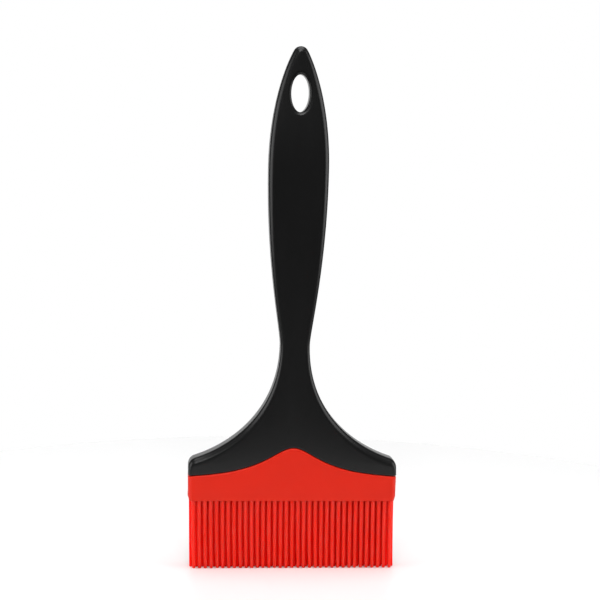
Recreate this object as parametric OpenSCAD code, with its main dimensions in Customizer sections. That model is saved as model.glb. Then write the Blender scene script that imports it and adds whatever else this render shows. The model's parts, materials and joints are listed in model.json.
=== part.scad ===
// Pastry brush: a black moulded handle with a red silicone head.
// Z is up with 0 at the bristle tips, X runs along the head, and the front faces -Y.

/* [Handle] */
// Height of the whole brush, from the bristle tips to the end of the handle
total_h = 220.8; // [219:0.1:240]
// Radius of the handle's rounded end
end_r = 3.2; // [2.6:0.1:3.6]
// Greatest width of the grip
grip_w = 25.2; // [23:0.1:28]
// Height of the grip's widest place
grip_z = 170.2; // [165:0.1:180]
// Width of the neck
neck_w = 12.4; // [11:0.1:15]
// Height of the neck's narrowest place
neck_z = 95.9; // [90:0.1:100]
// Radius of the shoulder's outer corner
shoulder_r = 4; // [3.4:0.1:5]
// Slope of the shoulder next to its corner, in degrees
shoulder_slope = 18.2; // [16:0.1:24]
// Thickness at the shoulder
shoulder_t = 12; // [11.4:0.1:13]
// Thickness at the neck
neck_t = 9.2; // [8.4:0.1:10]
// Thickness at the widest place of the grip
grip_t = 11.2; // [10:0.1:12]
// Thickness at the rounded end
end_t = 6.8; // [6:0.1:8]

/* [Hanging hole] */
// Height of the hole's centre
hole_z = 201.4; // [199:0.1:203]
// Width of the oval hole
hole_w = 7.8; // [6:0.1:9]
// Height of the oval hole
hole_h = 15.5; // [13:0.1:18]
// Width of the sloped lip around the hole
lip_w = 1.3; // [0.8:0.1:1.6]

/* [Head] */
// Width of the silicone sleeve
head_w = 88.9; // [86:0.1:92]
// Thickness of the silicone sleeve
sleeve_t = 12.1; // [12:0.1:13]
// Height of the sleeve's underside, where the bristles start
sleeve_z = 29.4; // [26:0.1:30]
// Height of the seam between handle and sleeve at the two ends
seam_z = 40.3; // [38:0.1:41]
// Rise of the seam's arch in the middle
arch_rise = 12.2; // [8:0.1:13]
// Spread of the arch: a larger value makes a wider hump
arch_spread = 6.5; // [5:0.1:8]
// Shape of the arch: a lower value makes a narrower top on straighter flanks
arch_power = 0.44; // [0.3:0.01:1]
// Gap at the seam
seam_gap = 0.15; // [0.1:0.01:0.3]

/* [Core plate] */
// Thickness of the core plate
core_t = 5; // [4:0.1:5.6]
// Height of the top of its tenon
tenon_z = 69; // [66:0.5:70]
// Clearance of the tenon in the handle's socket, on each side
tenon_gap = 0.1; // [0.05:0.01:0.2]

/* [Bristles] */
// Bristles in the first, third and fifth row
front_count = 35; // [31:1:35]
// Width of those rows, between the middles of the outermost bristles
front_span = 84.2; // [83:0.1:84.5]
// Width of the second and fourth row, which hold one bristle more
between_span = 85.9; // [85.6:0.1:86.2]
// Distance between neighbouring rows
row_pitch = 2.3; // [2.25:0.01:2.35]
// Diameter of a bristle at its root
root_d = 1.9; // [1.6:0.01:1.95]
// Diameter of a bristle at its tip
tip_d = 1.4; // [1.2:0.01:1.6]
// Gap between a bristle's root and the sleeve's underside
root_gap = 0.06; // [0.05:0.01:0.1]

/* [Hidden] */

black = "#1b1b1d";
grey = "#8c8f8e";
red = "#d3301f";
deep_red = "#c42317";

row_count = 5;
side_x = head_w / 2 - 0.05;
grip_hw = grip_w / 2;
neck_hw = neck_w / 2;
shoulder_z = seam_z + 3.5;
under_z = seam_z - 3;

// Tangent of the grip's side where it leaves the rounded end, from the level
end_angle = 30;

// Handle outline, right side: the Bezier curves between end, grip, neck and shoulder
end_join = [end_r * cos(end_angle), total_h - end_r + end_r * sin(end_angle)];
end_run = 4;
grip_top_run = 28.8;
grip_low_run = 41.5;
neck_top_run = 6.5;
neck_low_run = 28.9;
shoulder_run = 16;
corner_x = side_x - shoulder_r;
shoulder_join = [corner_x + shoulder_r * sin(shoulder_slope), shoulder_z + shoulder_r * cos(shoulder_slope)];

top_curve = [end_join, end_join + end_run * [sin(end_angle), -cos(end_angle)],
             [grip_hw, grip_z + grip_top_run], [grip_hw, grip_z]];
waist_curve = [[grip_hw, grip_z], [grip_hw, grip_z - grip_low_run],
               [neck_hw, neck_z + neck_top_run], [neck_hw, neck_z]];
flare_curve = [[neck_hw, neck_z], [neck_hw, neck_z - neck_low_run],
               shoulder_join + shoulder_run * [-cos(shoulder_slope), sin(shoulder_slope)], shoulder_join];

function bezier(p, t) =
    pow(1 - t, 3) * p[0] + 3 * pow(1 - t, 2) * t * p[1] + 3 * (1 - t) * t * t * p[2] + pow(t, 3) * p[3];
function bezier_way(p, t) =
    pow(1 - t, 2) * (p[1] - p[0]) + 2 * (1 - t) * t * (p[2] - p[1]) + t * t * (p[3] - p[2]);
function inward(way) = [way[1], -way[0]] / norm(way);

// One station of the outline is its point [x, z] and its inward normal
function curve_stations(p, n) = [for (i = [1:n]) [bezier(p, i / n), inward(bezier_way(p, i / n))]];
function arc_stations(cx, cz, r, from, to, n) =
    [for (i = [0:n]) let (a = from + (to - from) * i / n) [[cx + r * cos(a), cz + r * sin(a)], [-cos(a), -sin(a)]]];

stations = concat(
    arc_stations(0, total_h - end_r, end_r, 90, end_angle, 4),
    curve_stations(top_curve, 16),
    curve_stations(waist_curve, 18),
    curve_stations(flare_curve, 20),
    arc_stations(corner_x, shoulder_z, shoulder_r, 84 - shoulder_slope, 0, 5),
    [[[side_x, under_z], [-1, 0]]]);
last = len(stations) - 1;

// Value that changes smoothly with height between the keys [z, value]
function ease(u) = u * u * (3 - 2 * u);
function graded(z, keys, i = 0) =
    z <= keys[0][0] ? keys[0][1] :
    i + 1 >= len(keys) ? keys[i][1] :
    z > keys[i + 1][0] ? graded(z, keys, i + 1) :
    keys[i][1] + (keys[i + 1][1] - keys[i][1]) * ease((z - keys[i][0]) / (keys[i + 1][0] - keys[i][0]));

half_thickness = [[shoulder_z, shoulder_t / 2], [neck_z, neck_t / 2], [grip_z, grip_t / 2], [total_h, end_t / 2]];
edge_width = [[shoulder_z, 2.5], [neck_z, 1.4], [grip_z, 2.1], [total_h, 1.7]];

// Rings of the rounded edge: how far in from the outline, and how far up the thickness
ring_in = [0, 0.08, 0.3, 0.62, 1];
ring_up = [0.35, 0.6, 0.79, 0.91, 0.96];
rings = len(ring_in);
row_points = 2 * rings + 1;

function ring_point(i, k, side, face) =
    let (s = stations[i], p = s[0] + s[1] * ring_in[k] * graded(s[0][1], edge_width))
    [side * p[0], face * ring_up[k] * graded(p[1], half_thickness), p[1]];
function ridge_point(i, face) =
    let (z = ring_point(i, rings - 1, 1, face)[2]) [0, face * graded(z, half_thickness), z];

// Points of one face: the end's rings once, then right rings, ridge and left rings of each station
function face_points(face) = concat(
    [for (k = [0:rings - 1]) ring_point(0, k, 1, face)],
    [for (i = [1:last]) each concat(
        [for (k = [0:rings - 1]) ring_point(i, k, 1, face)],
        [ridge_point(i, face)],
        [for (k = [rings - 1:-1:0]) ring_point(i, k, -1, face)])]);
function at(i, j) = i == 0 ? (j < rings ? j : j == rings ? rings - 1 : row_points - 1 - j)
                           : rings + (i - 1) * row_points + j;

// Two triangles across the cell below station i and right of column j, without the ones of no size
function cell(i, j) =
    let (a = at(i, j), b = at(i, j + 1), c = at(i + 1, j + 1), d = at(i + 1, j))
    concat(a == b ? [] : [[a, b, c]], [[a, c, d]]);

module handle_body() {
    front = face_points(-1);
    back = face_points(1);
    n = len(front);
    skin = [for (i = [0:last - 1], j = [0:row_points - 2]) each cell(i, j)];
    edge = [for (i = [0:last - 1], j = [0, row_points - 1]) [at(i, j), at(i + 1, j)]];
    right_edge = [for (e = edge) if (front[e[1]][0] > 0) e];
    left_edge = [for (e = edge) if (front[e[1]][0] < 0) e];
    polyhedron(concat(front, back), concat(
        [for (f = skin) [f[0], f[2], f[1]]],
        [for (f = skin) [f[0] + n, f[1] + n, f[2] + n]],
        [for (e = right_edge) each [[e[0], e[1], e[1] + n], [e[0], e[1] + n, e[0] + n]]],
        [for (e = left_edge) each [[e[0], e[1] + n, e[1]], [e[0], e[0] + n, e[1] + n]]],
        [concat([for (j = [0:row_points - 1]) at(last, j)],
                [for (j = [row_points - 1:-1:0]) at(last, j) + n])]));
}

// Height of the arched seam at a place x along the head
function sech(u) = 2 / (exp(u) + exp(-u));
function hump(x) = pow(sech(x / arch_spread), arch_power);
arch_foot = hump(head_w / 2);
function arch_z(x) = seam_z + arch_rise * (hump(x) - arch_foot) / (1 - arch_foot);
arch_steps = 44;
arch_reach = head_w / 2 + 2;
function arch_line(half, drop) =
    [for (i = [-arch_steps:arch_steps]) let (x = half * i / arch_steps) [x, arch_z(x) - drop]];

// Extrudes an [x, z] shape through the thickness t, centred on the middle plane
module upright(t) {
    rotate([90, 0, 0])
        linear_extrude(height = t, center = true)
            children();
}

module oval(w, h) {
    polygon([for (a = [0:7.5:352.5]) [w / 2 * cos(a), h / 2 * sin(a)]]);
}

module hole_cut() {
    translate([0, 0, hole_z]) {
        upright(20)
            oval(hole_w, hole_h);
        for (turn = [0, 180])
            rotate([0, 0, turn])
                translate([0, -graded(hole_z, half_thickness) + lip_w, 0])
                    rotate([90, 0, 0])
                        linear_extrude(height = 2 * lip_w,
                                       scale = [1 + 4 * lip_w / hole_w, 1 + 4 * lip_w / hole_h])
                            oval(hole_w, hole_h);
    }
}

// Tenon of the core plate: a wide step, then a narrow one with chamfered corners
tenon_step_z = 57;
tenon_wide = 16;
tenon_narrow = 9;
module tenon_shape(gap) {
    polygon([[-tenon_wide - gap, under_z], [-tenon_wide - gap, tenon_step_z - 1.5 + gap],
             [-tenon_wide + 1.5 - gap, tenon_step_z + gap], [-tenon_narrow - gap, tenon_step_z + gap],
             [-tenon_narrow - gap, tenon_z - 2 + gap], [-tenon_narrow + 2 - gap, tenon_z + gap],
             [tenon_narrow - 2 + gap, tenon_z + gap], [tenon_narrow + gap, tenon_z - 2 + gap],
             [tenon_narrow + gap, tenon_step_z + gap], [tenon_wide - 1.5 + gap, tenon_step_z + gap],
             [tenon_wide + gap, tenon_step_z - 1.5 + gap], [tenon_wide + gap, under_z]]);
}

module handle() {
    color(black)
        difference() {
            handle_body();
            hole_cut();
            upright(20)
                polygon(concat(arch_line(arch_reach, 0),
                               [[arch_reach, under_z - 2], [-arch_reach, under_z - 2]]));
            upright(core_t + 2 * tenon_gap)
                tenon_shape(tenon_gap);
        }
}

// The plate stays inside the sleeve all round, and silicone fills its windows
plate_hw = 41.5;
plate_z = sleeve_z + 2.7;
plate_cover = 2.2;
window_w = 7;
window_h = 3;
window_step = 14;
module plate_shape() {
    difference() {
        union() {
            tenon_shape(0);
            polygon(concat(arch_line(plate_hw, plate_cover), [[plate_hw, plate_z], [-plate_hw, plate_z]]));
        }
        for (i = [-2:2])
            translate([i * window_step, plate_z + 1.6 + window_h / 2])
                square([window_w, window_h], center = true);
    }
}

module core_plate() {
    color(grey)
        upright(core_t)
            plate_shape();
}

// Outline of the sleeve seen from above, and its rounded lower edge seen from the end
sleeve_corner_r = 2.6;
lower_edge_r = 0.9;
module sleeve_plan() {
    square([head_w - 2 * sleeve_corner_r, sleeve_t], center = true);
    square([head_w, sleeve_t - 2 * sleeve_corner_r], center = true);
    for (x = [-1, 1], y = [-1, 1])
        translate([x * (head_w / 2 - sleeve_corner_r), y * (sleeve_t / 2 - sleeve_corner_r)])
            circle(r = sleeve_corner_r, $fn = 48);
}

// Half of a width w whose lower corner is rounded with radius r at height z
function round_foot(w, r, z) = [for (a = [0:15:90]) [w / 2 - r + r * cos(a), z + r - r * sin(a)]];
module footed(w, r, z, top) {
    right = round_foot(w, r, z);
    left = [for (i = [len(right) - 1:-1:0]) [-right[i][0], right[i][1]]];
    polygon(concat([[w / 2, top]], right, left, [[-w / 2, top]]));
}

module silicone_sleeve() {
    top = seam_z + arch_rise + 2;
    color(red)
        difference() {
            intersection() {
                translate([0, 0, sleeve_z - 1])
                    linear_extrude(height = top - sleeve_z + 2)
                        sleeve_plan();
                rotate([0, 0, 90])
                    upright(head_w + 4)
                        footed(sleeve_t, lower_edge_r, sleeve_z, top);
                upright(sleeve_t + 4)
                    intersection() {
                        footed(head_w, lower_edge_r, sleeve_z, top);
                        polygon(concat(arch_line(arch_reach, seam_gap),
                                       [[arch_reach, sleeve_z - 2], [-arch_reach, sleeve_z - 2]]));
                    }
            }
            core_plate();
        }
}

// A bristle is a tapered rod with a ball at the root, whose centre is where it bends
root_z = sleeve_z - root_d / 2 - root_gap;
module bristle() {
    tip = [for (a = [-90:15:0]) [tip_d / 2 * cos(a), tip_d / 2 + tip_d / 2 * sin(a)]];
    root = [for (a = [0:15:90]) [root_d / 2 * cos(a), root_z + root_d / 2 * sin(a)]];
    rotate_extrude($fn = 24)
        polygon([for (p = concat(tip, root)) [max(0, p[0]), p[1]]]);
}

// Every second row holds one bristle more, so its bristles stand in the gaps of its neighbours
module bristle_row(row) {
    between = row % 2 == 0;
    count = front_count + (between ? 1 : 0);
    pitch = (between ? between_span : front_span) / (count - 1);
    color(deep_red)
        for (i = [0:count - 1])
            translate([(i - (count - 1) / 2) * pitch, (row - (row_count + 1) / 2) * row_pitch, 0])
                bristle();
}

module bristle_row_1() { bristle_row(1); }
module bristle_row_2() { bristle_row(2); }
module bristle_row_3() { bristle_row(3); }
module bristle_row_4() { bristle_row(4); }
module bristle_row_5() { bristle_row(5); }

handle();
core_plate();
silicone_sleeve();
bristle_row_1();
bristle_row_2();
bristle_row_3();
bristle_row_4();
bristle_row_5();
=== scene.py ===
"""Pastry brush: its looks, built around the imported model. Laid out as an add-on and run as a script."""
import json
import math
import random

import bmesh
import bpy
from bpy.props import FloatProperty, FloatVectorProperty, IntProperty, PointerProperty
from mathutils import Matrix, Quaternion, Vector, noise


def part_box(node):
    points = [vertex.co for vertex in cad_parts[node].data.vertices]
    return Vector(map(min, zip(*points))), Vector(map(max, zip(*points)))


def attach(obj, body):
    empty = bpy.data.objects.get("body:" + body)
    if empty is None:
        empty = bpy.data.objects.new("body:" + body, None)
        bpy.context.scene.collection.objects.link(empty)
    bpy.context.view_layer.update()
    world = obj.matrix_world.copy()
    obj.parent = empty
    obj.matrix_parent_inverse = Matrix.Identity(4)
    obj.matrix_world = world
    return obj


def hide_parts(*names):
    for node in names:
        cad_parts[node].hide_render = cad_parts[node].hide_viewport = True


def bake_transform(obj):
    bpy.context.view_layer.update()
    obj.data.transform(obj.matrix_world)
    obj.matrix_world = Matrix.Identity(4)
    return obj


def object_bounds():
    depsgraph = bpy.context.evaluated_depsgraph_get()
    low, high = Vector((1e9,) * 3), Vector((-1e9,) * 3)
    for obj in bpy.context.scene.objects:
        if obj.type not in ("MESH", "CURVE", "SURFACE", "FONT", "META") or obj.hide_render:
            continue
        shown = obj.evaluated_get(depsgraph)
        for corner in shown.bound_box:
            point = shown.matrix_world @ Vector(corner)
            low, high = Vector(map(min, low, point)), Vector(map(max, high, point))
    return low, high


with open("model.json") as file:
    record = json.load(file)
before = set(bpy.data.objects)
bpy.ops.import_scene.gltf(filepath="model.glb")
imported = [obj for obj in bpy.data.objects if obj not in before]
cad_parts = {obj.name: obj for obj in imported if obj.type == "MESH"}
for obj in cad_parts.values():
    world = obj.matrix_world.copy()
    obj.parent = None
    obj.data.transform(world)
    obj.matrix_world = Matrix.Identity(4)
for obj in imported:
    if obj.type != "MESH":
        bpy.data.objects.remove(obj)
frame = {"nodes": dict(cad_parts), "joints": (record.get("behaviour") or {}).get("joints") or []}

bl_info = {
    "name": "Pastry Brush",
    "version": (1, 0, 0),
    "blender": (4, 5, 0),
    "location": "View3D > Sidebar > Pastry Brush",
    "description": "Builds a moulded handle, a silicone head and its bristles around the packed model",
    "category": "Object",
}

MM = 0.001
CAD_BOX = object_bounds()
HANDLE_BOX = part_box("handle")
SLEEVE_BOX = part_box("silicone_sleeve")
CORE_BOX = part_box("core_plate")
ROWS = 5
HINGES = {joint["child"]: joint["pos_m"] for joint in frame["joints"] if joint["type"] == "hinge"}


def length(name, description, millimetres, **more):
    """A length property whose default is given in millimetres."""
    return FloatProperty(name=name, description=description, default=millimetres * MM,
                         unit="LENGTH", precision=5, **more)


def colour(name, description, red, green, blue):
    """A linear colour property."""
    return FloatVectorProperty(name=name, description=description, default=(red, green, blue),
                               subtype="COLOR", size=3, min=0, max=1)


class HandleSizes(bpy.types.PropertyGroup):
    """Sizes of the moulded handle."""
    end_height: FloatProperty(name="End height", description="Height of the end of the handle",
                              default=HANDLE_BOX[1].z, unit="LENGTH")
    end_radius: length("End radius", "Radius of the rounded end", 3.2)
    grip_width: length("Grip width", "Greatest width of the grip", 25.2)
    grip_height: length("Grip height", "Height of the grip's widest place", 170.2)
    neck_width: length("Neck width", "Least width of the neck", 12.4)
    neck_height: length("Neck height", "Height of the neck's narrowest place", 95.9)
    shoulder_half_width: FloatProperty(name="Shoulder half width", default=HANDLE_BOX[1].x,
                                       description="Half width of the shoulder", unit="LENGTH")
    shoulder_height: length("Shoulder height", "Height of the centre of the shoulder's corner", 43.8)
    shoulder_radius: length("Shoulder radius", "Radius of the shoulder's outer corner", 4.0)
    shoulder_slope: FloatProperty(name="Shoulder slope", default=math.radians(18.2), subtype="ANGLE",
                                  description="Slope of the shoulder beside its corner")
    shoulder_thickness: length("Shoulder thickness", "Thickness at the shoulder", 12.0)
    neck_thickness: length("Neck thickness", "Thickness at the neck", 9.2)
    grip_thickness: length("Grip thickness", "Thickness at the grip's widest place", 11.2)
    end_thickness: length("End thickness", "Thickness at the rounded end", 6.8)
    hole_height: length("Hole height", "Height of the hanging hole's centre", 201.4)
    hole_width: length("Hole width", "Width of the oval hanging hole", 7.8)
    hole_length: length("Hole length", "Upright length of the oval hanging hole", 15.5)
    lip_width: length("Lip width", "Width of the rounded lip around the hole", 1.35)


class HeadSizes(bpy.types.PropertyGroup):
    """Sizes of the silicone head."""
    seam_height: length("Seam height", "Height of the seam at the two ends of the head", 40.3)
    arch_rise: length("Arch rise", "Rise of the seam's arch in the middle", 12.2)
    arch_spread: length("Arch spread", "Spread of the seam's arch", 6.5)
    arch_power: FloatProperty(name="Arch shape", description="Lower values straighten the arch's flanks",
                              default=0.44, min=0.3, max=1)
    seam_gap: length("Seam gap", "Gap between handle and sleeve", 0.3)
    corner_radius: length("Corner radius", "Radius of the sleeve's upright corners", 2.6)
    end_inset: length("End inset", "How far the sleeve's ends lean in over their height", 0.1)
    foot_inset: length("Foot inset", "How far the sleeve's ends draw in just above the bristles", 0.4)
    face_inset: length("Face inset", "How far the sleeve's faces draw in above the bristles", 0.22)
    nub: length("Flash nub", "Height of the nub of moulding flash before it is cut off flush", 0.42)


class BristleSizes(bpy.types.PropertyGroup):
    """Sizes of the bristles."""
    front_count: IntProperty(name="Front bristles", description="Bristles in the outer and middle rows",
                             default=35, min=3)
    front_span: length("Front span", "Width of those rows between their outermost bristles", 84.2)
    between_span: length("Between span", "Width of the rows that hold one bristle more", 85.8)
    root_diameter: length("Root diameter", "Diameter of a bristle at its root", 1.9)
    tip_diameter: length("Tip diameter", "Diameter of a bristle at its tip", 1.4)
    lean: length("Lean", "Greatest sideways lean of a single bristle's tip", 0.28)
    drift: length("Drift", "How far all tips stand off towards +X", 0.45)


class BrushColours(bpy.types.PropertyGroup):
    """Colours of the brush and of the floor."""
    handle: colour("Handle", "Black of the handle", 0.0030, 0.0030, 0.0031)
    silicone: colour("Silicone", "Red of the silicone", 0.69, 0.0165, 0.0035)
    # Painted light and shade: the bristles are the sleeve's own silicone, but each group of rows gets its
    # own red. The outer rows are painted lighter than the sleeve. The inner rows, seen only in the shaded
    # gaps between rows, are painted lighter and more saturated still (red raised, green and blue lowered),
    # standing in for light that scatters into the gaps.
    outer_bristles_painted_lighter: colour("Outer bristles", "Red of the two outer rows of bristles",
                           0.86, 0.028, 0.0155)
    inner_bristles_painted_gap_light: colour("Inner bristles", "Deeper red of the rows between the outer ones",
                           0.992, 0.009, 0.0055)
    core: colour("Core", "Grey of the core plate", 0.27, 0.28, 0.28)
    floor: colour("Floor", "White of the floor", 0.92, 0.92, 0.92)


class StageSizes(bpy.types.PropertyGroup):
    """Camera and lights."""
    lens: FloatProperty(name="Lens", description="Focal length in millimetres", default=90, min=20)
    distance: FloatProperty(name="Distance", description="Camera distance", default=0.634, unit="LENGTH")
    aim_x: length("Aim along X", "Where the camera aims, along the head", 1.85)
    aim_z: length("Aim height", "Height at which the camera aims", 114.9)
    azimuth: FloatProperty(name="Azimuth", description="Camera's turn round the brush",
                           default=math.radians(-5), subtype="ANGLE")
    elevation: FloatProperty(name="Elevation", description="Camera's height angle",
                             default=math.radians(6.5), subtype="ANGLE")
    roll: FloatProperty(name="Roll", description="Camera's roll", subtype="ANGLE",
                        default=math.radians(1.25))
    floor_radius: FloatProperty(name="Floor radius", description="Radius of the round floor",
                                default=0.27, unit="LENGTH")


class PastryBrush(bpy.types.PropertyGroup):
    """All settings of the pastry brush."""
    handle: PointerProperty(type=HandleSizes)
    head: PointerProperty(type=HeadSizes)
    bristles: PointerProperty(type=BristleSizes)
    colours: PointerProperty(type=BrushColours)
    stage: PointerProperty(type=StageSizes)


# Curves and outlines

def ease(u):
    """Smooth step from 0 to 1."""
    u = min(1.0, max(0.0, u))
    return u * u * (3 - 2 * u)


def graded(value, keys):
    """A value that changes smoothly between keys (place, value) in rising order."""
    if value <= keys[0][0]:
        return keys[0][1]
    for (low, a), (high, b) in zip(keys, keys[1:]):
        if value <= high:
            return a + (b - a) * ease((value - low) / (high - low))
    return keys[-1][1]


def bezier(p, t):
    """Point and direction of travel on a cubic curve through four 2-D vectors."""
    s = 1 - t
    point = s ** 3 * p[0] + 3 * s * s * t * p[1] + 3 * s * t * t * p[2] + t ** 3 * p[3]
    way = s * s * (p[1] - p[0]) + 2 * s * t * (p[2] - p[1]) + t * t * (p[3] - p[2])
    return point, way.normalized()


def arch_height(head, x):
    """Height of the arched seam at a place along the head."""
    def hump(place):
        return math.cosh(place / head.arch_spread) ** -head.arch_power
    foot = hump(SLEEVE_BOX[1].x)
    return head.seam_height + head.arch_rise * (hump(x) - foot) / (1 - foot)


def handle_outline(sizes, bottom):
    """Right side of the handle from its end down to the seam, as (point, inward normal) in X and Z."""
    end_angle = math.radians(30)
    end_centre = Vector((0, sizes.end_height - sizes.end_radius))
    grip = Vector((sizes.grip_width / 2, sizes.grip_height))
    neck = Vector((sizes.neck_width / 2, sizes.neck_height))
    corner = Vector((sizes.shoulder_half_width - sizes.shoulder_radius, sizes.shoulder_height))
    slope = Vector((math.cos(sizes.shoulder_slope), -math.sin(sizes.shoulder_slope)))
    end_join = end_centre + sizes.end_radius * Vector((math.cos(end_angle), math.sin(end_angle)))
    shoulder_join = corner + sizes.shoulder_radius * Vector((-slope.y, slope.x))
    up = Vector((0, 1))
    leave = Vector((math.sin(end_angle), -math.cos(end_angle)))
    end_run, grip_top_run, grip_low_run = 4.0 * MM, 28.8 * MM, 41.5 * MM
    neck_top_run, neck_low_run, shoulder_run = 6.5 * MM, 28.9 * MM, 16.0 * MM
    curves = (
        ([end_join, end_join + end_run * leave, grip + grip_top_run * up, grip], 64),
        ([grip, grip - grip_low_run * up, neck + neck_top_run * up, neck], 72),
        ([neck, neck - neck_low_run * up, shoulder_join - shoulder_run * slope, shoulder_join], 90),
    )
    stations = arc_stations(end_centre, sizes.end_radius, math.pi / 2, end_angle, 12)
    for points, steps in curves:
        for i in range(1, steps + 1):
            point, way = bezier(points, i / steps)
            stations.append((point, Vector((way.y, -way.x))))
    corner_start = math.pi / 2 - sizes.shoulder_slope
    stations += arc_stations(corner, sizes.shoulder_radius, corner_start, 0, 14)[1:]
    side_steps = 8
    for i in range(1, side_steps + 1):
        z = corner.y + (bottom - corner.y) * i / side_steps
        stations.append((Vector((sizes.shoulder_half_width, z)), Vector((-1, 0))))
    return stations


def arc_stations(centre, radius, start, end, steps):
    """Stations along an arc from one angle to another."""
    made = []
    for i in range(steps + 1):
        angle = start + (end - start) * i / steps
        out = Vector((math.cos(angle), math.sin(angle)))
        made.append((centre + radius * out, -out))
    return made


def round_edge(steps, first_slope):
    """Rounded edge from the crease to the side wall, as (inset, drop) fractions, outermost first."""
    made = []
    for i in range(steps + 1):
        angle = math.pi / 2 + (first_slope - math.pi / 2) * i / steps
        inset = 1 - (math.sin(angle) - math.sin(first_slope)) / (1 - math.sin(first_slope))
        drop = 1 - math.cos(angle) / math.cos(first_slope)
        made.append((inset, drop))
    return made


# Meshes

def mesh_object(name, points, faces):
    """A clean, smooth-shaded mesh object with outward normals."""
    mesh = bpy.data.meshes.new(name)
    mesh.from_pydata([tuple(p) for p in points], [], faces)
    work = bmesh.new()
    work.from_mesh(mesh)
    bmesh.ops.remove_doubles(work, verts=work.verts, dist=2e-6)
    bmesh.ops.dissolve_degenerate(work, edges=work.edges, dist=1e-7)
    bmesh.ops.recalc_face_normals(work, faces=work.faces)
    work.to_mesh(mesh)
    work.free()
    thing = bpy.data.objects.new(name, mesh)
    bpy.context.scene.collection.objects.link(thing)
    smooth(thing)
    return thing


def smooth(thing, sharp_angle=38):
    """Smooth shading that keeps edges above the given angle sharp."""
    thing.data.polygons.foreach_set("use_smooth", [True] * len(thing.data.polygons))
    thing.data.set_sharp_from_angle(angle=math.radians(sharp_angle))


def bake_modifiers(thing):
    """Replaces the mesh by what its modifiers make of it."""
    graph = bpy.context.evaluated_depsgraph_get()
    made = bpy.data.meshes.new_from_object(thing.evaluated_get(graph))
    thing.modifiers.clear()
    old = thing.data
    thing.data = made
    bpy.data.meshes.remove(old)


def weight_normals(thing):
    """Lets large faces lead the shading, so that narrow rounded edges read as rounded."""
    weighted = thing.modifiers.new("weighted normals", "WEIGHTED_NORMAL")
    weighted.keep_sharp = True
    bake_modifiers(thing)


def cut(thing, cutter):
    """Cuts one object out of another and removes the cutter."""
    boolean = thing.modifiers.new("cut", "BOOLEAN")
    boolean.object = cutter
    boolean.operation = "DIFFERENCE"
    boolean.solver = "EXACT"
    bake_modifiers(thing)
    bpy.data.objects.remove(cutter)


def band(first, second, closed=False):
    """Quads between two lists of point numbers of equal length."""
    count = len(first)
    steps = count if closed else count - 1
    return [(first[j], first[(j + 1) % count], second[(j + 1) % count], second[j]) for j in range(steps)]


class Handle:
    """Point rows of the handle, each a closed loop round it at one station of its outline."""
    # Quads across a face between its creases, and how much they gather towards the middle
    columns = 36
    gathering = 1.4
    # Share of the half thickness by which a face falls away towards its creases
    crown = 0.035
    # Drop of the rounded edge against its width, its steps, and the places of the rows on the side wall
    edge_drop = 1.2
    edge_steps = 8
    wall_parts = (0.05, 0.4, 0.8)
    # How far the parting line stands out, and the radius of the handle's lower edge
    parting_line = 0.05 * MM
    seam_round = 0.35 * MM
    # Below the neck by this much the rows begin to take on the seam's arch
    lift_below_neck = 8 * MM
    # The crease turns crisp this far above the shoulder, and soft again between these below the end
    crisp_above_shoulder = 7 * MM
    crisp_below_end = 18 * MM
    soft_below_end = 4 * MM

    def __init__(self, sizes, head):
        self.sizes = sizes
        self.head = head
        self.stations = handle_outline(sizes, head.seam_height + self.seam_round)
        shoulder = sizes.shoulder_height
        self.thickness_keys = (
            (shoulder, sizes.shoulder_thickness / 2), (sizes.neck_height, sizes.neck_thickness / 2),
            (sizes.grip_height, sizes.grip_thickness / 2), (sizes.end_height, sizes.end_thickness / 2))
        seam_edge, shoulder_edge, neck_edge = 1.3 * MM, 2.4 * MM, 1.4 * MM
        grip_edge, end_edge = 2.1 * MM, 2.2 * MM
        widest_edge = shoulder + 4 * MM
        self.edge_keys = (
            (head.seam_height, seam_edge), (widest_edge, shoulder_edge),
            (sizes.neck_height, neck_edge), (sizes.grip_height, grip_edge), (sizes.end_height, end_edge))
        soft, crisp = math.radians(2), math.radians(20)
        self.crease_keys = (
            (shoulder, soft), (shoulder + self.crisp_above_shoulder, crisp),
            (sizes.end_height - self.crisp_below_end, crisp),
            (sizes.end_height - self.soft_below_end, soft))

    def half_thickness(self, z):
        """Half thickness of the handle's middle at a height."""
        return graded(z, self.thickness_keys)

    def face(self, x_fraction, z):
        """Depth of the crowned face at a fraction of its half width."""
        return self.half_thickness(z) * (1 - self.crown * x_fraction ** 2)

    def hump(self, x):
        """How far the arch rises above the seam's ends at a place along the head."""
        return arch_height(self.head, x) - self.head.seam_height

    def lift(self, z):
        """How much of the arch a row takes on, from none in the neck to all at the seam."""
        start = self.sizes.neck_height - self.lift_below_neck
        return ease((start - z) / (start - self.head.seam_height - self.seam_round))

    def front_row(self, station):
        """Points of one row over the front, from the right parting line to the left one."""
        (x_edge, z_edge), (nx, nz) = station
        width = graded(z_edge, self.edge_keys)
        wall = self.face(1, z_edge) - self.edge_drop * width
        right = [(x_edge + self.parting_line, 0.0, z_edge)]
        right += [(x_edge, wall * part, z_edge) for part in self.wall_parts]
        for inset, drop in round_edge(self.edge_steps, graded(z_edge, self.crease_keys)):
            z = z_edge + nz * width * inset
            depth = self.face(1, z) - self.edge_drop * width * drop
            right.append((x_edge + nx * width * inset, depth, z))
        x_crease, _, z_crease = right[-1]
        middle = []
        for j in range(1, self.columns):
            part = 1 - 2 * j / self.columns
            place = math.copysign(abs(part) ** self.gathering, part)
            middle.append((x_crease * place, None, z_crease))
        left = [(-x, y, z) for x, y, z in reversed(right)]
        lift = self.lift(z_edge)
        row = []
        for x, y, z in right + middle + left:
            z += lift * (self.hump(x) - self.hump(x_edge))
            depth = self.face(x / max(x_crease, 1e-9), z) if y is None else y
            row.append(Vector((x, -depth, z)))
        return row

    def loop(self, front):
        """Closes a front row with its mirror image over the back."""
        back = [Vector((p.x, -p.y, p.z)) for p in reversed(front[1:-1])]
        return front + back


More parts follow.
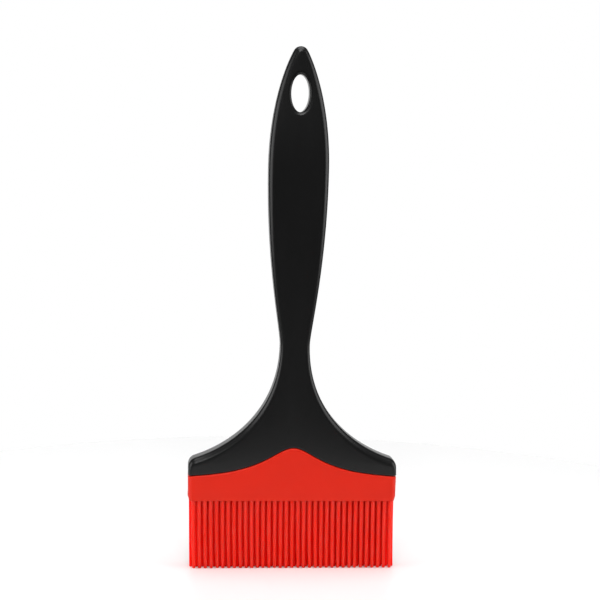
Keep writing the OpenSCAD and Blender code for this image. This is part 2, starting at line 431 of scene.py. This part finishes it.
def build_handle(sizes, head):
    """The moulded handle: rows of points, a patch round the hole, an arched underside and the socket."""
    handle = Handle(sizes, head)
    fronts = [handle.front_row(station) for station in handle.stations]
    side = 1 + len(handle.wall_parts) + handle.edge_steps + 1
    across = handle.columns + 1
    fronts += seam_rounding(handle, fronts[-1])
    loops = [handle.loop(front) for front in fronts]
    size = len(loops[0])
    front_size = len(fronts[0])
    points = [p for loop in loops for p in loop]
    patch_margin = 4.2 * MM
    reach = sizes.hole_length / 2 + patch_margin
    middle = front_size // 2
    near_hole = [i for i, front in enumerate(fronts) if abs(front[middle].z - sizes.hole_height) < reach]
    first, last = near_hole[0], near_hole[-1]
    crease = side - 1
    faces = []
    for i in range(len(loops) - 1):
        for j in range(size):
            column = min(j, size - j - 1) if j >= front_size - 1 else j
            in_patch = first <= i < last and crease <= column < crease + across - 1
            if not in_patch:
                a, b = i * size + j, i * size + (j + 1) % size
                faces.append((a, b, b + size, a + size))
    faces += underside_faces((len(loops) - 1) * size, front_size, size)
    add_hole(handle, points, faces, size, first, last, crease, across)
    thing = mesh_object("brush_handle", points, faces)
    cut(thing, socket_cutter(head))
    smooth(thing)
    weight_normals(thing)
    return thing


def seam_rounding(handle, front):
    """Three more rows that round the handle's lower edge into its underside."""
    made = []
    hi = HANDLE_BOX[1]
    for angle in (30, 60, 90):
        inset = handle.seam_round * (1 - math.cos(math.radians(angle)))
        down = handle.seam_round * math.sin(math.radians(angle))
        width_share, depth_share = 1 - inset / hi.x, 1 - inset / hi.y
        made.append([Vector((p.x * width_share, p.y * depth_share, p.z - down)) for p in front])
    return made


def underside_faces(start, front_size, size):
    """Quads that join the front of the last loop to its back."""
    return [(start + j, start + j + 1, start + (size - j - 1) % size, start + (size - j) % size)
            for j in range(front_size - 1)]


def add_hole(handle, points, faces, size, first, last, crease, across):
    """Fills the patch round the hanging hole on both faces and joins them with the hole's wall."""
    sizes = handle.sizes
    right = crease
    left = crease + across - 1
    ring = [first * size + j for j in range(right, left)]
    ring += [i * size + left for i in range(first, last)]
    ring += [last * size + j for j in range(left, right, -1)]
    ring += [i * size + right for i in range(last, first, -1)]
    middle = Vector((0, sizes.hole_height))
    edge = [points[k] for k in ring]
    half_x = max(p.x for p in edge)
    half_z = max(p.z for p in edge) - sizes.hole_height
    angles = [math.atan2((p.z - middle.y) / half_z, p.x / half_x) for p in edge]
    right_crease = [points[i * size + right] for i in range(first - 1, last + 2)]
    width_at = sorted((p.z, p.x) for p in right_crease)

    def face_depth(x, z):
        """Depth of the crowned face at a place near the hole."""
        above = [k for k in width_at if k[0] >= z] or [width_at[-1]]
        below = [k for k in width_at if k[0] < z] or [width_at[0]]
        (z0, x0), (z1, x1) = below[-1], above[0]
        half = x0 if z1 == z0 else x0 + (x1 - x0) * (z - z0) / (z1 - z0)
        return handle.face(x / half, z)

    lip_drop = 1.05 * MM
    lip_steps, lip_slope = 7, math.radians(14)
    lip = list(reversed(round_edge(lip_steps, lip_slope)))
    fill_parts = (0.87, 0.72, 0.55, 0.38, 0.23, 0.1)
    inner_loops = []
    for face_side in (-1, 1):
        outer = [k if face_side < 0 else mirror_number(k, size) for k in ring]
        previous = outer
        rows = [([lip_point(sizes, angle, part * sizes.lip_width) for angle in angles], lip_drop * drop)
                for part, drop in lip]
        lip_edge = rows[0][0]
        fill = []
        for part in fill_parts:
            fill.append(([a.lerp(Vector((b.x, b.z)), part) for a, b in zip(lip_edge, edge)], 0.0))
        for flat, drop in fill + rows:
            numbers = list(range(len(points), len(points) + len(flat)))
            points.extend(Vector((p.x, face_side * (face_depth(p.x, p.y) - drop), p.y)) for p in flat)
            faces.extend(band(previous, numbers, closed=True))
            previous = numbers
        inner_loops.append(previous)
    wall = inner_loops[0]
    for part in (0.25, 0.5, 0.75):
        numbers = list(range(len(points), len(points) + len(wall)))
        points.extend(points[a].lerp(points[b], part) for a, b in zip(*inner_loops))
        faces.extend(band(wall, numbers, closed=True))
        wall = numbers
    faces.extend(band(wall, inner_loops[1], closed=True))


def mirror_number(number, size):
    """Number of the point on the back that mirrors a point on the front of the same loop."""
    start = number - number % size
    return start + (size - number % size) % size


def lip_point(sizes, angle, outwards):
    """Point in X and Z on the hole's oval, moved outwards along its normal."""
    a, b = sizes.hole_width / 2, sizes.hole_length / 2
    on = Vector((a * math.cos(angle), b * math.sin(angle)))
    normal = Vector((math.cos(angle) / a, math.sin(angle) / b)).normalized()
    return on + outwards * normal + Vector((0, sizes.hole_height))


def socket_cutter(head):
    """A solid the shape of the socket that takes the core plate's stepped tenon."""
    gap = 0.1 * MM
    half = (CORE_BOX[1].y - CORE_BOX[0].y) / 2 + gap
    top = CORE_BOX[1].z + gap
    wide, narrow, step = 16 * MM + gap, 9 * MM + gap, 57 * MM + gap
    step_chamfer, top_chamfer = 1.5 * MM, 2 * MM
    low = head.seam_height - 4 * MM
    right = [(wide, low), (wide, step - step_chamfer), (wide - step_chamfer, step), (narrow, step),
             (narrow, top - top_chamfer), (narrow - top_chamfer, top)]
    outline = right + [(-x, z) for x, z in reversed(right)]
    count = len(outline)
    points = [(x, y, z) for y in (-half, half) for x, z in outline]
    faces = [tuple(range(count)), tuple(range(2 * count - 1, count - 1, -1))]
    faces += band(list(range(count)), list(range(count, 2 * count)), closed=True)
    return mesh_object("socket_cutter", points, faces)


def build_sleeve(head):
    """The silicone sleeve: upright walls with rounded corners under an arched top."""
    lo, hi = SLEEVE_BOX
    bottom = lo.z
    top_round = 0.6 * MM
    foot_round = 0.2 * MM
    foot_levels = (0.4, 0.6, 0.8, 1.0, 1.2, 1.4, 1.6, 1.8, 2.0, 2.2, 2.4, 2.7, 3.0, 3.3)
    foot_height = foot_levels[-1] * MM
    # Heights over which the foot, the ends and the faces draw in
    foot_top, foot_run = 2 * MM, 1.9 * MM
    lean_run = 8.5 * MM
    face_run = 6 * MM
    ripple, ripples_per_metre = 0.02 * MM, 90
    wall_rows = 13
    levels = []
    for step in range(5):
        angle = math.pi / 2 * step / 4
        levels.append(("foot", foot_round * (1 - math.sin(angle)), foot_round * (1 - math.cos(angle))))
    for up in foot_levels:
        levels.append(("foot", 0.0, up * MM))
    for step in range(1, wall_rows):
        levels.append(("wall", 0.0, step / wall_rows))
    for step in range(6):
        angle = math.pi / 2 * step / 5
        levels.append(("top", top_round * (1 - math.cos(angle)), top_round * (1 - math.sin(angle))))
    plan = sleeve_plan(head, hi.x, hi.y)
    points, rows = [], []
    for kind, inset, value in levels:
        numbers = []
        for x, y, nx, ny in plan:
            top = arch_height(head, x) - head.seam_gap
            if kind == "foot":
                z = bottom + value
            elif kind == "wall":
                z = bottom + foot_height + value * (top - top_round - bottom - foot_height)
            else:
                z = top - value
            ends = head.end_inset * ease((head.seam_height - z) / lean_run)
            ends += head.foot_inset * ease((bottom + foot_top - z) / foot_run)
            faces_in = head.face_inset * ease((bottom + face_run - z) / face_run)
            draw = inset + nx * nx * ends + ny * ny * faces_in
            swell = flash_nub(head, x, y, z)
            swell += ripple * noise.noise(Vector((x, y, z)) * ripples_per_metre)
            out = swell - draw
            numbers.append(len(points))
            points.append(inside(SLEEVE_BOX, Vector((x + nx * out, y + ny * out, z))))
        rows.append(numbers)
    faces = []
    for low, high in zip(rows, rows[1:]):
        faces += band(low, high, closed=True)
    count = len(plan)
    for row in (rows[0], rows[-1]):
        faces += [(row[j], row[j + 1], row[(count - j - 1) % count], row[(count - j) % count])
                  for j in range(count // 2)]
    thing = mesh_object("silicone_sleeve_skin", points, faces)
    weight_normals(thing)
    return thing


def inside(box, point):
    """The point, moved inside a box if it lies outside."""
    lo, hi = box
    return Vector(min(max(value, low), high) for value, low, high in zip(point, lo, hi))


def flash_nub(head, x, y, z):
    """Height of the small nub of moulding flash low on the sleeve's left edge."""
    nub_height, half_length, half_width = 31.0 * MM, 1.5 * MM, 1.6 * MM
    left_end = -40 * MM
    if x > left_end:
        return 0.0
    along = abs(z - nub_height) / half_length
    across = abs(y) / half_width
    reach = max(0.0, 1 - along * along) * max(0.0, 1 - across * across)
    return head.nub * reach ** 1.5


def sleeve_plan(head, half_x, half_y):
    """Closed plan of the sleeve, round from its right end, as (x, y, normal x, normal y)."""
    radius = head.corner_radius
    right = [(half_x, -part * (half_y - radius), 1.0, 0.0) for part in (0.0, 0.03, 0.35, 0.7)]
    for step in range(11):
        angle = math.pi / 2 * step / 10
        nx, ny = math.cos(angle), -math.sin(angle)
        right.append((half_x - radius + radius * nx, -(half_y - radius) + radius * ny, nx, ny))
    columns = 110
    middle = []
    for j in range(1, columns):
        middle.append(((half_x - radius) * (1 - 2 * j / columns), -half_y, 0.0, -1.0))
    left = [(-x, y, -nx, ny) for x, y, nx, ny in reversed(right)]
    front = right + middle + left
    back = [(x, -y, nx, -ny) for x, y, nx, ny in reversed(front[1:-1])]
    return front + back


def build_row(number, sizes):
    """One row of bristles: tapered rods that flare into the sleeve and end in flat round tips."""
    first_seed = 700
    # Spacing of the tips against the roots, and how much less the outermost bristles lean
    evenness, end_stiffness = 0.995, 0.7
    waves_per_metre, row_offset = 55, 0.3
    # Shares of the greatest lean: sideways with neighbours and alone, back and forth, out from the middle
    together, apart, front_lean, spread = 0.8, 0.3, 0.5, 0.08
    # Share of it that bows a bristle, and the most millimetres that one is short by
    bow_share, shortfall = 0.12, 0.12
    chance = random.Random(first_seed + number)
    between = number % 2 == 0
    count = sizes.front_count + (1 if between else 0)
    span = sizes.between_span if between else sizes.front_span
    pitch = sizes.front_span / (sizes.front_count - 1)
    hinge = HINGES["row_%d" % number]
    root = SLEEVE_BOX[0].z
    points, faces = [], []
    for i in range(count):
        place = (i / (count - 1) - 0.5) * span
        tip_place = evenness * pitch * (i - (count - 1) / 2)
        freedom = 1 - end_stiffness * (2 * place / span) ** 4
        neighbourly = noise.noise(Vector((place * waves_per_metre, number * row_offset, 0)))
        lean_x = sizes.lean * freedom * (together * neighbourly + apart * chance.uniform(-1, 1))
        lean_x += tip_place - place + sizes.drift
        lean_y = sizes.lean * (front_lean * chance.uniform(-1, 1) + spread * (number - (ROWS + 1) / 2))
        bow = sizes.lean * bow_share * chance.uniform(-1, 1)
        short = chance.uniform(0, shortfall) * MM
        add_bristle(points, faces, sizes, Vector((place, hinge[1], root)), (lean_x, lean_y, bow), short)
    return mesh_object("bristles_row_%d" % number, points, faces)


def add_bristle(points, faces, sizes, root, shape, short):
    """Adds one bristle below a root point. Shape holds the tip's lean along X and Y and a sideways bow."""
    lean_x, lean_y, bow = shape
    sides, steps = 16, 14
    root_radius, tip_radius = sizes.root_diameter / 2, sizes.tip_diameter / 2
    long = root.z - short
    # The flare's size, the millimetres in which it fades, and the depth where the plain rod begins
    flare, flare_run, flare_end = 0.16 * MM, 0.3, 1.8 * MM
    cap = 0.35 * tip_radius
    profile = []
    for up in (0.5, 0.0, -0.15, -0.35, -0.65, -1.1, -1.8):
        profile.append((up * MM, root_radius + flare * math.exp(min(0.0, up) / flare_run)))
    for step in range(1, steps + 1):
        down = -flare_end - (long - flare_end - cap) * step / steps
        profile.append((down, root_radius + (tip_radius - root_radius) * down / (cap - long)))
    for angle in (22, 42, 60, 75):
        turn = math.radians(angle)
        profile.append((-(long - cap) - cap * math.sin(turn), tip_radius * math.cos(turn)))
    previous = None
    for down, radius in profile:
        part = max(0.0, -down / long)
        middle = root + Vector((lean_x * part ** 1.6 + bow * math.sin(math.pi * part),
                                lean_y * part ** 1.6, down))
        numbers = list(range(len(points), len(points) + sides))
        for k in range(sides):
            angle = 2 * math.pi * k / sides
            points.append(middle + Vector((radius * math.cos(angle), radius * math.sin(angle), 0)))
        if previous:
            faces.extend(band(previous, numbers, closed=True))
        else:
            faces.append(tuple(reversed(numbers)))
        previous = numbers
    tip = len(points)
    points.append(root + Vector((lean_x, lean_y, -long)))
    faces.extend((previous[k], previous[(k + 1) % sides], tip) for k in range(sides))


# Materials

class Finish:
    """A node material with short ways to add its textures."""

    def __init__(self, name):
        self.material = bpy.data.materials.new(name)
        self.material.use_nodes = True
        self.tree = self.material.node_tree
        self.shader = self.tree.nodes["Principled BSDF"]
        self.place = self.add("ShaderNodeTexCoord").outputs["Object"]

    def add(self, kind, **values):
        """Adds a node and sets its input sockets by name."""
        node = self.tree.nodes.new(kind)
        for key, value in values.items():
            node.inputs[key.replace("_", " ")].default_value = value
        return node

    def link(self, start, end):
        """Joins two sockets."""
        self.tree.links.new(start, end)

    def grain(self, scale, detail=2.0, rough=0.5, stretch=(1, 1, 1)):
        """Noise in the object's own space, in grains per metre."""
        mapping = self.add("ShaderNodeMapping", Scale=stretch)
        texture = self.add("ShaderNodeTexNoise", Scale=scale, Detail=detail, Roughness=rough)
        self.link(self.place, mapping.inputs["Vector"])
        self.link(mapping.outputs["Vector"], texture.inputs["Vector"])
        return texture.outputs["Fac"]

    def spread(self, factor, low, high, dark=0.3, light=0.7):
        """Maps a factor to a range of values."""
        node = self.add("ShaderNodeMapRange", From_Min=dark, From_Max=light, To_Min=low, To_Max=high)
        self.link(factor, node.inputs["Value"])
        return node.outputs["Result"]

    def tint(self, factor, first, second):
        """Mixes two colours by a factor."""
        node = self.add("ShaderNodeMix")
        node.data_type = "RGBA"
        node.inputs[6].default_value = (*first, 1)
        node.inputs[7].default_value = (*second, 1)
        self.link(factor, node.inputs[0])
        return node.outputs[2]

    def bumps(self, *layers):
        """Stacks bump layers (height, distance, strength) into the shader's normal."""
        before = None
        for height, distance, strength in layers:
            node = self.add("ShaderNodeBump", Strength=strength, Distance=distance)
            self.link(height, node.inputs["Height"])
            if before:
                self.link(before, node.inputs["Normal"])
            before = node.outputs["Normal"]
        self.link(before, self.shader.inputs["Normal"])


def shade(colour_value, factor):
    """A colour made lighter or darker."""
    return tuple(min(1.0, c * factor) for c in colour_value)


def black_plastic(colours):
    """Satin black moulded plastic with a fine grain and faint rubbing marks."""
    finish = Finish("satin_black_plastic")
    cloud = finish.grain(55, detail=3)
    fine = finish.grain(2600, detail=3, rough=0.6)
    rubbed = finish.grain(240, detail=4, stretch=(1, 1, 0.12))
    finish.link(finish.tint(cloud, shade(colours.handle, 0.85), shade(colours.handle, 1.3)),
                finish.shader.inputs["Base Color"])
    finish.link(finish.spread(rubbed, 0.275, 0.305), finish.shader.inputs["Roughness"])
    finish.shader.inputs["Specular IOR Level"].default_value = 0.35
    finish.bumps((cloud, 0.0004, 0.12), (fine, 0.00003, 0.35))
    return finish.material


def red_silicone(name, red, sink, depth, bump, shine):
    """Soft red silicone: sink is the share of light that goes under the surface, depth how far it gets."""
    finish = Finish(name)
    cloud = finish.grain(70, detail=3)
    fine = finish.grain(1900, detail=2)
    finish.link(finish.tint(cloud, shade(red, 0.94), shade(red, 1.05)),
                finish.shader.inputs["Base Color"])
    finish.link(finish.spread(fine, 0.40, 0.5), finish.shader.inputs["Roughness"])
    finish.shader.inputs["Subsurface Weight"].default_value = sink
    finish.shader.inputs["Subsurface Radius"].default_value = (1.0, 0.16, 0.08)
    finish.shader.inputs["Subsurface Scale"].default_value = depth
    finish.shader.inputs["Specular IOR Level"].default_value = shine
    finish.bumps((cloud, 0.0003, 0.15), (fine, 0.00002, bump))
    return finish.material


def grey_nylon(colours):
    """Matt grey nylon with a spark-eroded mould grain."""
    finish = Finish("grey_nylon")
    cloud = finish.grain(90, detail=3)
    fine = finish.grain(3200, detail=2)
    finish.link(finish.tint(cloud, shade(colours.core, 0.92), shade(colours.core, 1.06)),
                finish.shader.inputs["Base Color"])
    finish.link(finish.spread(cloud, 0.48, 0.58), finish.shader.inputs["Roughness"])
    finish.bumps((fine, 0.00004, 0.5))
    return finish.material


def white_floor(colours):
    """Smooth white laminate that mirrors softly at a low angle."""
    finish = Finish("white_floor")
    cloud = finish.grain(6, detail=3)
    finish.link(finish.tint(cloud, shade(colours.floor, 0.99), colours.floor),
                finish.shader.inputs["Base Color"])
    finish.link(finish.spread(cloud, 0.36, 0.4), finish.shader.inputs["Roughness"])
    finish.bumps((finish.grain(30), 0.0002, 0.05))
    return finish.material


def settings():
    """The scene's settings of the brush."""
    return bpy.context.scene.pastry_brush


def put(thing, material):
    """Gives an object one material."""
    thing.data.materials.clear()
    thing.data.materials.append(material)


# Operators

class MakeHandle(bpy.types.Operator):
    """Builds the moulded handle with its hanging hole and socket"""
    bl_idname = "pastry_brush.handle"
    bl_label = "Handle"

    def execute(self, context):
        brush = settings()
        thing = build_handle(brush.handle, brush.head)
        put(thing, black_plastic(brush.colours))
        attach(thing, "handle")
        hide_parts("handle")
        return {"FINISHED"}


class MakeCorePlate(bpy.types.Operator):
    """Gives the core plate its nylon finish"""
    bl_idname = "pastry_brush.core_plate"
    bl_label = "Core plate"

    def execute(self, context):
        put(frame["nodes"]["core_plate"], grey_nylon(settings().colours))
        return {"FINISHED"}


class MakeSleeve(bpy.types.Operator):
    """Builds the silicone sleeve under the handle"""
    bl_idname = "pastry_brush.sleeve"
    bl_label = "Silicone sleeve"

    def execute(self, context):
        brush = settings()
        thing = build_sleeve(brush.head)
        put(thing, red_silicone("red_silicone", brush.colours.silicone, 0.35, 1.6 * MM, 0.3, 0.2))
        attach(thing, "head")
        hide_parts("silicone_sleeve")
        return {"FINISHED"}


class MakeBristles(bpy.types.Operator):
    """Builds the rows of bristles"""
    bl_idname = "pastry_brush.bristles"
    bl_label = "Bristles"

    def execute(self, context):
        brush = settings()
        colours = brush.colours
        # Painted light: the rows get lighter reds than the sleeve's silicone. The inner rows are lightest
        # and most saturated, standing in for light in the shaded gaps between the rows.
        outer = red_silicone("outer_silicone_painted_lighter", colours.outer_bristles_painted_lighter, 1.0, 4 * MM, 0.1, 0.14)
        inner = red_silicone("inner_silicone_painted_gap_light", colours.inner_bristles_painted_gap_light, 1.0, 0.8 * MM, 0.1, 0.08)
        for number in range(1, ROWS + 1):
            thing = build_row(number, brush.bristles)
            put(thing, outer if number in (1, ROWS) else inner)
            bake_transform(thing)
            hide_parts("bristle_row_%d" % number)
        return {"FINISHED"}


class MakeStage(bpy.types.Operator):
    """Sets the floor, the lights and the camera"""
    bl_idname = "pastry_brush.stage"
    bl_label = "Stage"

    def execute(self, context):
        brush = settings()
        build_floor(brush.stage, brush.colours)
        build_world()
        build_lights()
        build_camera(brush.stage)
        context.scene.view_settings.view_transform = "Standard"
        context.scene.view_settings.look = "None"
        return {"FINISHED"}


def build_floor(stage, colours):
    """A round white floor under the brush."""
    sides, drop = 96, 0.02 * MM
    turns = [2 * math.pi * k / sides for k in range(sides)]
    points = [(stage.floor_radius * math.cos(a), stage.floor_radius * math.sin(a), -drop) for a in turns]
    floor = mesh_object("floor", points, [tuple(range(sides))])
    put(floor, white_floor(colours))


def build_world():
    """White to the eye; as a light dim in front, brighter at the sides and bright straight behind."""
    world = bpy.data.worlds.new("studio")
    world.use_nodes = True
    tree = world.node_tree
    tree.nodes.clear()
    add, link = tree.nodes.new, tree.links.new
    place = add("ShaderNodeTexCoord")
    parts = add("ShaderNodeSeparateXYZ")
    ramp = add("ShaderNodeValToRGB")
    half = add("ShaderNodeMath")
    half.operation = "MULTIPLY_ADD"
    half.inputs[1].default_value = 0.5
    half.inputs[2].default_value = 0.5
    # Stops of light level against place, from 0 in front of the brush to 1 behind it
    stops = ((0.0, 0.15), (0.15, 0.14), (0.3, 0.1), (0.4, 0.25), (0.53, 0.36), (0.64, 0.12),
             (0.92, 0.08), (0.965, 1.0))
    while len(ramp.color_ramp.elements) < len(stops):
        ramp.color_ramp.elements.new(0.5)
    for element, (position, level) in zip(ramp.color_ramp.elements, stops):
        element.position = position
        element.color = (level, level, level, 1)
    lit = add("ShaderNodeBackground")
    seen = add("ShaderNodeBackground")
    seen.inputs["Color"].default_value = (1, 1, 1, 1)
    path = add("ShaderNodeLightPath")
    mix = add("ShaderNodeMixShader")
    out = add("ShaderNodeOutputWorld")
    link(place.outputs["Generated"], parts.inputs[0])
    link(parts.outputs["Y"], half.inputs[0])
    link(half.outputs[0], ramp.inputs[0])
    link(ramp.outputs[0], lit.inputs["Color"])
    link(path.outputs["Is Camera Ray"], mix.inputs[0])
    link(lit.outputs[0], mix.inputs[1])
    link(seen.outputs[0], mix.inputs[2])
    link(mix.outputs[0], out.inputs["Surface"])
    bpy.context.scene.world = world


def build_lights():
    """A softbox on each side, one above and one high in front."""
    softbox("left_softbox", (-0.9, -0.2, 0.3), 0.7, 4)
    softbox("right_softbox", (0.9, -0.2, 0.3), 0.7, 4)
    softbox("top_softbox", (0, 0, 1.2), 1.0, 10)
    softbox("front_softbox", (-0.1, -1.05, 1.1), 0.7, 10)


def softbox(name, place, side, power):
    """A square area light that faces the middle of the brush."""
    data = bpy.data.lights.new(name, "AREA")
    data.size = side
    data.energy = power
    light = bpy.data.objects.new(name, data)
    light.location = place
    aim = Vector((0, 0, CAD_BOX[1].z / 2)) - Vector(place)
    light.rotation_euler = aim.to_track_quat("-Z", "Y").to_euler()
    bpy.context.scene.collection.objects.link(light)


def build_camera(stage):
    """The camera in front of the brush."""
    data = bpy.data.cameras.new("camera")
    data.lens = stage.lens
    data.clip_start = 0.01
    camera = bpy.data.objects.new("camera", data)
    away = Vector((math.sin(stage.azimuth) * math.cos(stage.elevation),
                   -math.cos(stage.azimuth) * math.cos(stage.elevation), math.sin(stage.elevation)))
    camera.location = Vector((stage.aim_x, 0, stage.aim_z)) + stage.distance * away
    look = (-away).to_track_quat("-Z", "Y")
    camera.rotation_mode = "QUATERNION"
    camera.rotation_quaternion = look @ Quaternion((0, 0, 1), stage.roll)
    bpy.context.scene.collection.objects.link(camera)
    bpy.context.scene.camera = camera


class BrushPanel(bpy.types.Panel):
    """Lists the pieces of the pastry brush and their sizes"""
    bl_idname = "VIEW3D_PT_pastry_brush"
    bl_label = "Pastry Brush"
    bl_space_type = "VIEW_3D"
    bl_region_type = "UI"
    bl_category = "Pastry Brush"

    def draw(self, context):
        brush = settings()
        for group in (brush.handle, brush.head, brush.bristles, brush.colours, brush.stage):
            box = self.layout.box()
            for key in group.__annotations__:
                box.prop(group, key)
        for operator in PIECES:
            self.layout.operator(operator.bl_idname)


PIECES = (MakeHandle, MakeCorePlate, MakeSleeve, MakeBristles, MakeStage)
SIZES = (HandleSizes, HeadSizes, BristleSizes, BrushColours, StageSizes, PastryBrush)
CLASSES = (*SIZES, *PIECES, BrushPanel)


def register():
    """Registers the classes and the scene's settings."""
    for made in CLASSES:
        bpy.utils.register_class(made)
    bpy.types.Scene.pastry_brush = PointerProperty(type=PastryBrush)


def unregister():
    """Removes the settings and the classes."""
    del bpy.types.Scene.pastry_brush
    for made in reversed(CLASSES):
        bpy.utils.unregister_class(made)


def main():
    """Builds every piece in order."""
    register()
    bpy.ops.pastry_brush.handle()
    bpy.ops.pastry_brush.core_plate()
    bpy.ops.pastry_brush.sleeve()
    bpy.ops.pastry_brush.bristles()
    bpy.ops.pastry_brush.stage()


if __name__ == "__main__":
    main()
